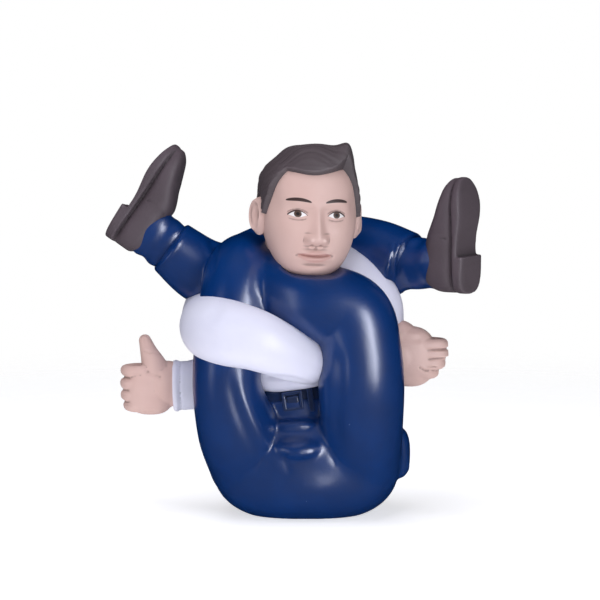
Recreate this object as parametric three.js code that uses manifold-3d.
// A palm-sized squeeze figure: an office worker who sits with arms and legs tied in a knot.
// The real figure is one foam moulding. Each moulded and painted form is a solid of its own here.
// Millimetres, +Z up. The figure faces -Y and rests on its seat. Left and right are the
// figure's own sides, so its left side is at +X.

import * as THREE from "three";
import { mergeVertices } from "three/addons/utils/BufferGeometryUtils.js";
import Module from "manifold-3d";

const wasm = await Module();
wasm.setup();

// Fit between neighbours, and fineness of the faceted forms
const CLEARANCE = 0.3;
const SIDES = 12;
const STEPS = 9;
const SHORT_STEPS = 3;
const CAP_STEPS = 3;

// Seat and hips
const SEAT_WIDTH = 45.8;
const SEAT_DEPTH = 38;
const SEAT_HEIGHT = 27;
const SEAT_FLAT_CUT = 2;
const HIP_WIDTH = 34;
const HIP_DEPTH_RATIO = 0.84;

// Legs
const LAP_GAP = 13.4;
const LAP_REACH = 12;
const LEFT_THIGH_RADIUS = 10.1;
const RIGHT_THIGH_RADIUS = 8.3;
const LEFT_HAM_RADIUS = 10;
const RIGHT_HAM_RADIUS = 10.4;
const KNEE_RADIUS = 10.1;
const LEFT_KNEE_HEIGHT = 49.5;
const RIGHT_KNEE_HEIGHT = 57.7;
const SHIN_RADIUS = 8;
const LEFT_HEM_RADIUS = 6.6;
const RIGHT_HEM_RADIUS = 8.2;
const SOCK_RADIUS = 6.3;
const SOCK_DEPTH_RATIO = 0.74;
const LEFT_SOCK_LENGTH = 4.6;
const RIGHT_SOCK_LENGTH = 8.1;

// Shoes
const SHOE_LENGTH = 27.7;
const SHOE_WIDTH = 10.6;
const SHOE_HEIGHT = 7.8;
const SHOE_HEEL_REACH = 7.2;
const TOE_HEIGHT = 3.2;
const SOLE_THICKNESS = 1.2;
const HEEL_LENGTH = 8.4;
const HEEL_THICKNESS = 1.3;

// Shirt and arms
const TORSO_WIDTH = 32;
const TORSO_DEPTH_RATIO = 0.76;
const SHOULDER_HEIGHT = 54;
const RIGHT_SLEEVE_RADIUS = 7.4;
const LEFT_SLEEVE_RADIUS = 5.9;
const WRIST_RADIUS = 4.5;
const CUFF_RADIUS = 6.6;
const CUFF_LENGTH = 5.6;

// Belt
const BELT_HEIGHT = 28.7;
const BELT_BREADTH = 5.8;
const BELT_THICKNESS = 1.3;
const BELT_TILT = THREE.MathUtils.degToRad(8);
const BUCKLE_WIDTH = 4.8;
const BUCKLE_BREADTH = 4.6;
const BUCKLE_THICKNESS = 1.1;
const LOOP_WIDTH = 1.3;

// Hands
const LEFT_FIST_RADIUS = 6.3;
const LEFT_FIST_REACH = 9.6;
const THUMB_RADIUS = 2.4;
const THUMB_LENGTH = 7.4;
const RIGHT_FIST_RADIUS = 7.8;
const RIGHT_FIST_REACH = 6.5;

// Head
const HEAD_WIDTH = 23;
const HEAD_DEPTH = 26.4;
const CROWN_HEIGHT = 15.4;
const CHIN_DROP = 14;
const JAW_WIDTH = 21.6;
const HAIR_THICKNESS = 1.2;
const HAIRLINE = 8.6;
const NECK_RADIUS = 7;
const EAR_HEIGHT = 8.4;
const HEAD_TURN = THREE.MathUtils.degToRad(12);
const HEAD_LEAN = THREE.MathUtils.degToRad(3);

const HUGE = 200;

// ---- geometry helpers ----

const at = (x, y, z) => new THREE.Vector3(x, y, z);

// A closed three.js geometry as a solid that can be joined and cut.
function solid(geometry) {
  const bare = geometry.clone();
  bare.deleteAttribute("normal");
  bare.deleteAttribute("uv");
  const merged = mergeVertices(bare, 1e-4);
  const corners = Array.from(merged.index.array);
  const kept = [];
  for (let i = 0; i < corners.length; i += 3) {
    const [a, b, c] = corners.slice(i, i + 3);
    if (a !== b && b !== c && c !== a) kept.push(a, b, c);
  }
  return new wasm.Manifold(
    new wasm.Mesh({
      numProp: 3,
      vertProperties: new Float32Array(merged.attributes.position.array),
      triVerts: new Uint32Array(kept),
    }),
  );
}

function placed(geometry, centre) {
  return solid(geometry.translate(centre.x, centre.y, centre.z));
}

function ellipsoid(centre, halfX, halfY, halfZ) {
  return placed(new THREE.SphereGeometry(1, SIDES + 4, SIDES - 2).scale(halfX, halfY, halfZ), centre);
}

function block(lowX, lowY, lowZ, highX, highY, highZ) {
  const box = new THREE.BoxGeometry(highX - lowX, highY - lowY, highZ - lowZ);
  return placed(box, at((lowX + highX) / 2, (lowY + highY) / 2, (lowZ + highZ) / 2));
}

// A round-ended form whose axis is a smooth curve through the stations. Each station is
// [point, radius]. depthRatio narrows every section along Y.
function limb(stations, grow = 0, depthRatio = 1) {
  const steps = stations.length > 3 ? STEPS : SHORT_STEPS;
  const curve = new THREE.CatmullRomCurve3(stations.map(([point]) => point));
  const radii = stations.map(([, radius]) => radius + grow);
  const frames = curve.computeFrenetFrames(steps);
  const capsule = new THREE.CapsuleGeometry(1, steps, CAP_STEPS, SIDES, steps);
  const place = capsule.attributes.position;
  for (let i = 0; i < place.count; i += 1) {
    const along = place.getY(i) + steps / 2;
    const onAxis = THREE.MathUtils.clamp(along, 0, steps);
    const step = Math.round(onAxis);
    const share = curve.getUtoTmapping(step / steps) * (radii.length - 1);
    const low = Math.min(Math.floor(share), radii.length - 2);
    const ease = THREE.MathUtils.smoothstep(share - low, 0, 1);
    const radius = THREE.MathUtils.lerp(radii[low], radii[low + 1], ease);
    const offset = at(0, 0, 0)
      .addScaledVector(frames.tangents[step], (along - onAxis) * radius)
      .addScaledVector(frames.binormals[step], place.getX(i) * radius)
      .addScaledVector(frames.normals[step], place.getZ(i) * radius);
    offset.y *= depthRatio;
    const point = curve.getPointAt(step / steps).add(offset);
    place.setXYZ(i, point.x, point.y, point.z);
  }
  return solid(capsule);
}

// A flat outline pushed through a thickness that starts at z = 0, every face moved out by grow.
function slab(outline, thickness, grow) {
  const depth = thickness - 2 * CLEARANCE;
  const bevel = CLEARANCE + grow;
  const form = new THREE.ExtrudeGeometry(outline, {
    depth,
    steps: 1,
    curveSegments: 3,
    bevelSegments: 1,
    bevelThickness: bevel,
    bevelSize: bevel,
    bevelOffset: -CLEARANCE,
  });
  return form.translate(0, 0, CLEARANCE);
}

// ---- seat and hips ----

const beltTilt = new THREE.Matrix4().makeRotationY(-BELT_TILT).setPosition(0, 0, BELT_HEIGHT);
const waist = at(0, 7, BELT_HEIGHT);
const seatX = 2.4;

function overBeltLine(grow) {
  const over = new THREE.BoxGeometry(HUGE, HUGE, HUGE);
  over.translate(0, 0, HUGE / 2 - BELT_BREADTH / 2 - grow - CLEARANCE);
  return solid(over.applyMatrix4(beltTilt));
}

function seat(grow) {
  const halfHeight = (SEAT_HEIGHT + SEAT_FLAT_CUT) / 2;
  const middle = at(seatX, 5, halfHeight - SEAT_FLAT_CUT);
  const egg = ellipsoid(middle, SEAT_WIDTH / 2 + grow, SEAT_DEPTH / 2 + grow, halfHeight + grow);
  const hips = limb(
    [
      [at(0.8, 5, SEAT_HEIGHT * 0.6), HIP_WIDTH / 2],
      [at(waist.x, 6.6, BELT_HEIGHT), HIP_WIDTH / 2 - 0.6],
    ],
    grow,
    HIP_DEPTH_RATIO,
  );
  const underBase = block(-HUGE, -HUGE, -HUGE, HUGE, HUGE, -grow);
  return egg.add(hips).subtract(overBeltLine(-grow)).subtract(underBase);
}

// ---- legs ----

const leftThighX = LAP_GAP / 2 + LEFT_THIGH_RADIUS;
const rightThighX = -LAP_GAP / 2 - RIGHT_THIGH_RADIUS;
const leftMidThigh = (LEFT_KNEE_HEIGHT * 2) / 3;
const rightMidThigh = RIGHT_KNEE_HEIGHT * 0.572;
const rightUnderThigh = (RIGHT_HAM_RADIUS + RIGHT_THIGH_RADIUS) / 2 + 0.2;
const leftKnee = at(leftThighX - 3.9, -LAP_REACH, LEFT_KNEE_HEIGHT);
const rightKnee = at(rightThighX + 2.4, 7.5 - LAP_REACH, RIGHT_KNEE_HEIGHT);
const leftHem = at(-29.8, 5, RIGHT_KNEE_HEIGHT + 6.7);
const leftAnkleWay = at(-0.8, 0, 0.6);
const rightHem = at(26.6, 5.6, RIGHT_KNEE_HEIGHT + 2.4);
const rightHemWay = at(0.82, -0.52, -0.3);
const rightAnkleWay = at(0.85, -0.5, 0.1);

const leftThigh = (grow) =>
  limb(
    [
      [at(leftThighX - 1.2, -1, 13), LEFT_HAM_RADIUS],
      [at(leftThighX - 0.8, 4 - LAP_REACH, (leftMidThigh * 2) / 3), LEFT_THIGH_RADIUS - 0.3],
      [at(leftThighX - 0.8, -LAP_REACH, leftMidThigh), LEFT_THIGH_RADIUS],
      [at(leftThighX - 1.3, -LAP_REACH - 1, LEFT_KNEE_HEIGHT - 7.5), LEFT_THIGH_RADIUS - 0.2],
      [leftKnee, KNEE_RADIUS],
    ],
    grow,
  );

const rightThigh = (grow) =>
  limb(
    [
      [at(rightThighX + 4.6, 0, 13), RIGHT_HAM_RADIUS],
      [at(rightThighX + 1.4, 5 - LAP_REACH, (rightMidThigh * 2) / 3), rightUnderThigh],
      [at(rightThighX - 1.2, 1.5 - LAP_REACH, rightMidThigh), RIGHT_THIGH_RADIUS],
      [at(rightThighX - 0.2, 2 - LAP_REACH, RIGHT_KNEE_HEIGHT - 13), RIGHT_THIGH_RADIUS + 0.3],
      [rightKnee, KNEE_RADIUS - 0.9],
    ],
    grow,
  );

// The left lower leg crosses under the chin and out behind the right knee.
const leftShin = (grow) =>
  limb(
    [
      [leftKnee, KNEE_RADIUS],
      [at(4, 1 - LAP_REACH, LEFT_KNEE_HEIGHT + 3.5), SHIN_RADIUS + 1.5],
      [at(-5, -4, RIGHT_KNEE_HEIGHT - 1.7), SHIN_RADIUS + 0.8],
      [at(-14, 4, RIGHT_KNEE_HEIGHT - 1.3), SHIN_RADIUS + 0.2],
      [at(-22, 5.5, RIGHT_KNEE_HEIGHT + 0.7), SHIN_RADIUS + 0.3],
      [leftHem, LEFT_HEM_RADIUS],
    ],
    grow,
  );

// The right lower leg goes round the back of the neck and out past the left shoulder.
const rightShin = (grow) =>
  limb(
    [
      [rightKnee, KNEE_RADIUS - 0.9],
      [at(-10, 7.5, RIGHT_KNEE_HEIGHT + 2.1), SHIN_RADIUS + 0.2],
      [at(0, 16.5, RIGHT_KNEE_HEIGHT + 5.3), SHIN_RADIUS],
      [at(12, 15, RIGHT_KNEE_HEIGHT + 5.7), SHIN_RADIUS],
      [at(20, 10, RIGHT_KNEE_HEIGHT + 4.9), SHIN_RADIUS],
      [rightHem, RIGHT_HEM_RADIUS],
    ],
    grow,
  );

// The trouser leg ends in a flat hem, so its round end is cut off square.
function hemmed(leg, hem, way) {
  const beyond = new THREE.BoxGeometry(40, 40, 20).translate(0, 0, 10);
  const turn = new THREE.Quaternion().setFromUnitVectors(at(0, 0, 1), way.clone().normalize());
  beyond.applyQuaternion(turn);
  return leg.subtract(placed(beyond, hem));
}

const sock = (hem, way, length) => (grow) => {
  const end = hem.clone().addScaledVector(way.clone().normalize(), length);
  const start = hem.clone().addScaledVector(way.clone().normalize(), -3);
  return limb([[start, SOCK_RADIUS], [end, SOCK_RADIUS]], grow, SOCK_DEPTH_RATIO);
};

// ---- shoes, drawn sole down with the ankle at the origin and the toe toward +X ----

const toeReach = SHOE_LENGTH - SHOE_HEEL_REACH;

function footOutline() {
  const half = SHOE_WIDTH / 2;
  const outline = new THREE.Shape();
  outline.moveTo(-SHOE_HEEL_REACH, 0);
  outline.splineThru([
    new THREE.Vector2(-SHOE_HEEL_REACH * 0.55, -half * 0.86),
    new THREE.Vector2(toeReach * 0.2, -half * 0.88),
    new THREE.Vector2(toeReach * 0.6, -half),
    new THREE.Vector2(toeReach * 0.92, -half * 0.6),
    new THREE.Vector2(toeReach, 0),
    new THREE.Vector2(toeReach * 0.92, half * 0.6),
    new THREE.Vector2(toeReach * 0.6, half),
    new THREE.Vector2(toeReach * 0.2, half * 0.88),
    new THREE.Vector2(-SHOE_HEEL_REACH * 0.55, half * 0.86),
    new THREE.Vector2(-SHOE_HEEL_REACH, 0),
  ]);
  return outline;
}

// The side view of the upper: collar at the ankle, instep, low toe, flat below.
function upperOutline() {
  const outline = new THREE.Shape();
  outline.moveTo(-SHOE_HEEL_REACH - 1, -SHOE_HEIGHT);
  outline.lineTo(toeReach + 1, -SHOE_HEIGHT);
  outline.lineTo(toeReach + 1, TOE_HEIGHT - SHOE_HEIGHT);
  outline.splineThru([
    new THREE.Vector2(toeReach * 0.7, TOE_HEIGHT + 2.5 - SHOE_HEIGHT),
    new THREE.Vector2(toeReach * 0.5, -1.2),
    new THREE.Vector2(SOCK_RADIUS + 0.6, 0.6),
  ]);
  outline.lineTo(-SHOE_HEEL_REACH - 1, -0.6);
  return outline;
}

function shoeUpper(grow) {
  const plan = solid(slab(footOutline(), SHOE_HEIGHT + 2, grow).translate(0, 0, -SHOE_HEIGHT));
  const side = slab(upperOutline(), SHOE_WIDTH + 2, grow).translate(0, 0, -SHOE_WIDTH / 2 - 1);
  return plan.intersect(solid(side.rotateX(Math.PI / 2)));
}

function soleSlab(grow) {
  const top = -SHOE_HEIGHT - CLEARANCE;
  return solid(slab(footOutline(), SOLE_THICKNESS, grow).translate(0, 0, top - SOLE_THICKNESS));
}

function heelBlock(grow) {
  const top = -SHOE_HEIGHT - SOLE_THICKNESS - 2 * CLEARANCE;
  const under = slab(footOutline(), HEEL_THICKNESS, grow).translate(0, 0, top - HEEL_THICKNESS);
  const front = HEEL_LENGTH - SHOE_HEEL_REACH + grow;
  return solid(under).intersect(block(-HUGE, -HUGE, -HUGE, front, HUGE, HUGE));
}

// The pose of a foot: its ankle is length beyond the hem, toe is where its toe points.
function footPose(hem, way, length, toe, soleFacing) {
  const ankle = hem.clone().addScaledVector(way.clone().normalize(), length);
  const forward = toe.clone().normalize();
  const across = at(0, 0, 0).crossVectors(soleFacing, forward).normalize();
  const up = at(0, 0, 0).crossVectors(forward, across);
  const pose = new THREE.Matrix4().makeBasis(forward, across.negate(), up.negate());
  if (pose.determinant() < 0) throw new Error("a foot's axes are left-handed");
  return pose.setPosition(ankle);
}

const posed = (make, pose) => (grow) => make(grow).transform(pose.elements);

const leftSole = at(-0.78, 0.2, 0.59);
const rightSole = at(0.84, -0.54, 0);
const leftFoot = footPose(leftHem, leftAnkleWay, LEFT_SOCK_LENGTH, at(0.57, 0, 0.82), leftSole);
const rightFoot = footPose(rightHem, rightAnkleWay, RIGHT_SOCK_LENGTH, at(-0.015, 0, 1), rightSole);

// ---- shirt and arms ----

const shirt = (grow) =>
  limb(
    [
      [at(waist.x, waist.y, BELT_HEIGHT - 4), TORSO_WIDTH / 2 - 0.6],
      [at(waist.x, waist.y + 0.3, BELT_HEIGHT + 4), TORSO_WIDTH / 2 - 0.3],
      [at(0, 10, SHOULDER_HEIGHT - 8), TORSO_WIDTH / 2 - 0.6],
      [at(0, 9, SHOULDER_HEIGHT), TORSO_WIDTH / 2 - 5],
    ],
    grow,
    TORSO_DEPTH_RATIO,
  );

const rightElbow = at(-20.2, 0, 47);
const leftElbow = at(19.4, 9, 41);
const rightWrist = at(23, 3, 38);
const leftWrist = at(-24, 6, 31.1);

const rightUpperSleeve = (grow) =>
  limb(
    [
      [at(-11, 10, SHOULDER_HEIGHT - 1), RIGHT_SLEEVE_RADIUS],
      [at(-18.5, 8, 50.5), RIGHT_SLEEVE_RADIUS],
      [rightElbow, RIGHT_SLEEVE_RADIUS],
    ],
    grow,
  );

// The right forearm lies over the right thigh and goes in behind the left one.
const rightForeSleeve = (grow) =>
  limb(
    [
      [rightElbow, RIGHT_SLEEVE_RADIUS],
      [at(-18, -2 - LAP_REACH, 46.5), RIGHT_SLEEVE_RADIUS + 0.6],
      [at(-9, -7.5 - LAP_REACH, 44.7), RIGHT_SLEEVE_RADIUS - 0.2],
      [at(0.5, -3.6 - LAP_REACH, 40.5), RIGHT_SLEEVE_RADIUS - 1.5],
      [at(6.8, 6.5 - LAP_REACH, 37.4), WRIST_RADIUS + 0.5],
      [at(16, 10 - LAP_REACH, 36.5), WRIST_RADIUS + 0.2],
      [rightWrist, WRIST_RADIUS],
    ],
    grow,
  );

// The left sleeve keeps its front face against the left thigh, and its top against the hair.
const sleeveFront = LEFT_SLEEVE_RADIUS - 3.9;
const leftUpperSleeve = (grow) =>
  limb(
    [
      [at(9, 4, SHOULDER_HEIGHT + 12.4 - LEFT_SLEEVE_RADIUS), LEFT_SLEEVE_RADIUS],
      [at(13.5, sleeveFront + 0.5, SHOULDER_HEIGHT + 9.3 - LEFT_SLEEVE_RADIUS), LEFT_SLEEVE_RADIUS],
      [at(19, sleeveFront + 1, SHOULDER_HEIGHT - 1.4), LEFT_SLEEVE_RADIUS],
      [at(20.5, sleeveFront + 3, 47.5), LEFT_SLEEVE_RADIUS],
      [leftElbow, LEFT_SLEEVE_RADIUS],
    ],
    grow,
  );

// The left forearm lies across the small of the back.
const leftForeSleeve = (grow) =>
  limb(
    [
      [leftElbow, LEFT_SLEEVE_RADIUS],
      [at(13, 17, 34), LEFT_SLEEVE_RADIUS],
      [at(2, 20.5, 31.5), LEFT_SLEEVE_RADIUS],
      [at(-9, 18, 30.5), LEFT_SLEEVE_RADIUS],
      [at(-18, 10, 30.8), LEFT_SLEEVE_RADIUS],
      [leftWrist, LEFT_SLEEVE_RADIUS],
    ],
    grow,
  );

function leftCuff(grow) {
  const length = CUFF_LENGTH + 2 * grow;
  const band = new THREE.CylinderGeometry(CUFF_RADIUS + grow, CUFF_RADIUS + grow, length, SIDES + 2);
  return placed(band.rotateZ(Math.PI / 2), leftWrist.clone().add(at(-CUFF_LENGTH / 2, -0.4, 0)));
}

// ---- hands ----

// The left hand is a fist with its thumb up.
function leftHand(grow) {
  const start = leftWrist.clone().add(at(-CUFF_LENGTH - LEFT_FIST_RADIUS + 1, -1.4, -0.2));
  const end = start.clone().add(at(-LEFT_FIST_REACH + LEFT_FIST_RADIUS, 0.4, 0));
  const fist = limb([[start, LEFT_FIST_RADIUS], [end, LEFT_FIST_RADIUS - 0.4]], grow);
  const root = start.clone().add(at(-1, -0.8, LEFT_FIST_RADIUS - 2));
  const tip = root.clone().add(at(-1.4, 1, THUMB_LENGTH - 1));
  return fist.add(limb([[root, THUMB_RADIUS + 0.8], [tip, THUMB_RADIUS]], grow));
}

const rightHand = (grow) =>
  limb(
    [
      [rightWrist.clone().add(at(2.2, 0, 1.4)), RIGHT_FIST_RADIUS],
      [rightWrist.clone().add(at(RIGHT_FIST_REACH, 0, 0.4)), RIGHT_FIST_RADIUS - 1.5],
      [rightWrist.clone().add(at(RIGHT_FIST_REACH + 2.9, 0, 1.6)), RIGHT_FIST_RADIUS - 3.9],
    ],
    grow,
    0.8,
  );

// ---- belt ----

// The belt shows in front, between the thighs: the arms and legs cover the rest of it.
function belt(grow) {
  const halfWidth = TORSO_WIDTH / 2 + BELT_THICKNESS + grow;
  const halfDepth = (TORSO_WIDTH / 2) * TORSO_DEPTH_RATIO + BELT_THICKNESS + grow;
  const round = new THREE.CylinderGeometry(1, 1, BELT_BREADTH + 2 * grow, 3 * SIDES);
  round.rotateX(Math.PI / 2).scale(halfWidth, halfDepth, 1).translate(0, waist.y, 0);
  const behind = block(-HUGE, waist.y - 2 + grow, -HUGE, HUGE, HUGE, HUGE);
  return solid(round.applyMatrix4(beltTilt)).subtract(behind);
}

const beltFrontY = waist.y - (TORSO_WIDTH / 2) * TORSO_DEPTH_RATIO - BELT_THICKNESS;

// A small block on the front of the belt, from x = low to x = high.
function onBelt(low, high, breadth, thickness, grow) {
  const width = high - low + 2 * grow;
  const form = new THREE.BoxGeometry(width, thickness + 2 * grow, breadth + 2 * grow);
  form.translate((low + high) / 2, beltFrontY - CLEARANCE - thickness / 2, 0);
  return solid(form.applyMatrix4(beltTilt));
}

const beltBuckle = (grow) =>
  onBelt(-BUCKLE_WIDTH / 2 - 0.5, BUCKLE_WIDTH / 2 - 0.5, BUCKLE_BREADTH, BUCKLE_THICKNESS, grow);
const beltLoop = (grow) =>
  onBelt(3.2, 3.2 + LOOP_WIDTH, BELT_BREADTH + 0.6, BUCKLE_THICKNESS - 0.3, grow);

const trouserFront = (grow) =>
  ellipsoid(at(0.5, beltFrontY + 1.2, BELT_HEIGHT - 5.4), 8 + grow, 6 + grow, 3.6 + grow);

// The pocket stands proud of the thigh or of the seat, whichever is wider there.
function backPocket(grow) {
  const patch = new THREE.SphereGeometry(1, 14, 10).scale(3 + grow, 5.4 + grow, 6.2 + grow);
  const hipSide = Math.max(leftThighX - 1.2 + LEFT_HAM_RADIUS, seatX + SEAT_WIDTH / 2);
  return placed(patch, at(hipSide - 0.8, 3.6, 15));
}

// ---- head, drawn at the origin looking along -Y ----

const headCentre = at(2.9, -7, 73.3);
const headPose = new THREE.Matrix4()
  .makeRotationZ(HEAD_TURN)
  .multiply(new THREE.Matrix4().makeRotationY(HEAD_LEAN))
  .setPosition(headCentre);

function skull(grow) {
  const halfHeight = (CROWN_HEIGHT + 10) / 2;
  const middle = at(0, 0.8, CROWN_HEIGHT - halfHeight);
  return ellipsoid(middle, HEAD_WIDTH / 2 + grow, HEAD_DEPTH / 2 + grow, halfHeight + grow);
}

function headForm(grow) {
  const jawRadius = JAW_WIDTH / 2;
  const jawCentre = at(0, -2.6, jawRadius - CHIN_DROP);
  const jaw = ellipsoid(jawCentre, jawRadius + grow, 10.4 + grow, jawRadius + grow);
  const bridge = at(0, 0.8 - HEAD_DEPTH / 2, 0.5);
  const nose = limb([[bridge, 1.2], [bridge.clone().add(at(0, -1.3, -4.2)), 1.9]], grow);
  const neck = limb([[at(-1, 4, -6), NECK_RADIUS], [at(-2.6, 11, -15), NECK_RADIUS]], grow);
  return skull(grow).add(jaw).add(nose).add(neck);
}

// The hair is a cap over the skull, open at the face, with a short sideburn before each ear.
function hairCap(grow) {
  const sideburnFront = -5;
  const sideburnEnd = -3;
  return skull(grow + HAIR_THICKNESS)
    .subtract(block(-HUGE, -HUGE, -HUGE, HUGE, sideburnFront - grow, HAIRLINE - grow))
    .subtract(block(-HUGE, -HUGE, -HUGE, HUGE, 1 - grow, sideburnEnd - grow))
    .subtract(block(-HUGE, -HUGE, -HUGE, HUGE, HUGE, sideburnEnd - 5 - grow));
}

const earForm = (side) => (grow) =>
  ellipsoid(at(side * (HEAD_WIDTH / 2 + 0.6), 0.6, -2.4), 2 + grow, 2.8 + grow, EAR_HEIGHT / 2 + grow);

// ---- the pieces, each giving way to those before it ----

const paint = {
  navy: { color: 0x12305f, roughness: 0.38, metalness: 0 },
  white: { color: 0xeceaf2, roughness: 0.5, metalness: 0 },
  skin: { color: 0xd6aa98, roughness: 0.7, metalness: 0 },
  brown: { color: 0x4b423f, roughness: 0.75, metalness: 0 },
};

const pieces = [
  ["seat", "navy", seat],
  ["head", "skin", posed(headForm, headPose)],
  ["hair", "brown", posed(hairCap, headPose)],
  ["left_ear", "skin", posed(earForm(1), headPose)],
  ["right_ear", "skin", posed(earForm(-1), headPose)],
  ["left_thigh", "navy", leftThigh],
  ["right_fore_sleeve", "white", rightForeSleeve],
  ["right_thigh", "navy", rightThigh],
  ["left_shin", "navy", (grow) => hemmed(leftShin(grow), leftHem, leftAnkleWay)],
  ["right_shin", "navy", (grow) => hemmed(rightShin(grow), rightHem, rightHemWay)],
  ["left_shoe", "brown", posed(shoeUpper, leftFoot)],
  ["right_shoe", "brown", posed(shoeUpper, rightFoot)],
  ["left_sole", "brown", posed(soleSlab, leftFoot)],
  ["right_sole", "brown", posed(soleSlab, rightFoot)],
  ["left_heel", "brown", posed(heelBlock, leftFoot)],
  ["right_heel", "brown", posed(heelBlock, rightFoot)],
  ["left_sock", "navy", sock(leftHem, leftAnkleWay, LEFT_SOCK_LENGTH)],
  ["right_sock", "navy", sock(rightHem, rightAnkleWay, RIGHT_SOCK_LENGTH)],
  ["left_cuff", "white", leftCuff],
  ["left_hand", "skin", leftHand],
  ["right_hand", "skin", rightHand],
  ["left_upper_sleeve", "white", leftUpperSleeve],
  ["right_upper_sleeve", "white", rightUpperSleeve],
  ["left_fore_sleeve", "white", leftForeSleeve],
  ["shirt", "white", shirt],
  ["belt_buckle", "navy", beltBuckle],
  ["belt_loop", "navy", beltLoop],
  ["belt", "navy", belt],
  ["trouser_front", "navy", trouserFront],
  ["left_back_pocket", "navy", backPocket],
];

function meshOf(name, finish, body) {
  const { vertProperties, triVerts } = body.getMesh();
  const geometry = new THREE.BufferGeometry();
  geometry.setAttribute("position", new THREE.BufferAttribute(vertProperties, 3));
  geometry.setIndex(new THREE.BufferAttribute(triVerts, 1));
  geometry.computeVertexNormals();
  const mesh = new THREE.Mesh(geometry, new THREE.MeshStandardMaterial(paint[finish]));
  mesh.name = name;
  return mesh;
}

const group = new THREE.Group();
const taken = [];
for (const [name, finish, make] of pieces) {
  const whole = taken.reduce((body, other) => body.subtract(other), make(0));
  const bodies = whole.decompose().sort((a, b) => b.volume() - a.volume());
  group.add(meshOf(name, finish, bodies[0]));
  taken.push(make(CLEARANCE));
}

// The origin is under the middle of the whole figure, on the surface it rests on.
const bounds = new THREE.Box3().setFromObject(group, true);
const middle = bounds.getCenter(new THREE.Vector3());
group.position.set(-middle.x, -middle.y, -bounds.min.z);

export default group;
